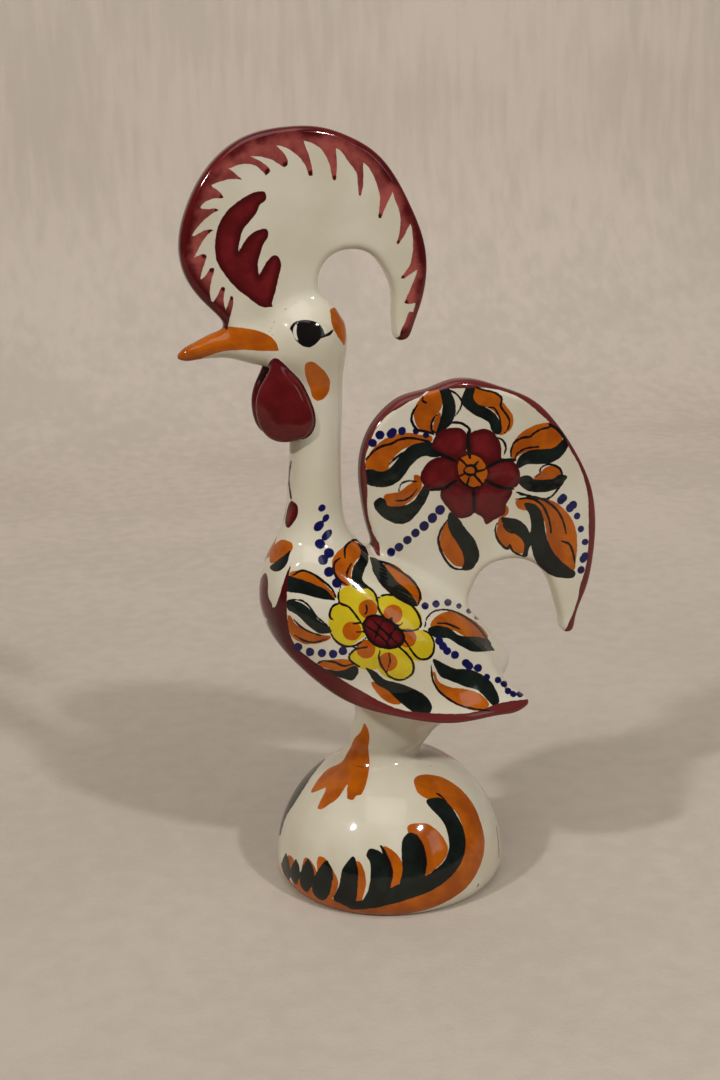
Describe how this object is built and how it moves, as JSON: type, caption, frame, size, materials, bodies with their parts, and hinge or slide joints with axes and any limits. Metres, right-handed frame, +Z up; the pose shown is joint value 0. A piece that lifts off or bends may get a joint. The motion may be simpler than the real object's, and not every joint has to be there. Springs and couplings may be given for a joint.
{
  "type": "rooster figurine",
  "caption": "Hand-painted glazed earthenware rooster with slab comb and tail, flared wings and a hollow dome foot.",
  "frame": {"origin": "centre of the flat foot ring, on the surface that the figure stands on", "axes": "+Z up, -X the way the rooster faces, -Y towards its left wing"},
  "size_m": [0.1329, 0.074, 0.2396],
  "materials": {
    "dome_glaze": "glossy transparent glaze over hand painting on white earthenware",
    "stem_glaze": "glossy transparent glaze over hand painting on white earthenware",
    "body_glaze": "glossy transparent glaze over hand painting on white earthenware",
    "wing_glaze": "glossy transparent glaze over hand painting on white earthenware",
    "neck_glaze": "glossy transparent glaze over hand painting on white earthenware",
    "head_glaze": "glossy transparent glaze over hand painting on white earthenware",
    "beak_glaze": "glossy transparent glaze over hand painting on white earthenware",
    "comb_glaze": "glossy transparent glaze over hand painting on white earthenware",
    "tail_glaze": "glossy transparent glaze over hand painting on white earthenware",
    "wattle_glaze": "glossy transparent glaze over hand painting on white earthenware"
  },
  "bodies": {
    "root": {"base_dome": "dome_glaze", "stem_collar": "stem_glaze", "body_shell": "body_glaze", "left_wing": "wing_glaze", "right_wing": "wing_glaze", "neck_tube": "neck_glaze", "head": "head_glaze", "beak": "beak_glaze", "comb": "comb_glaze", "tail": "tail_glaze", "left_wattle": "wattle_glaze", "right_wattle": "wattle_glaze"}
  },
  "joints": []
}
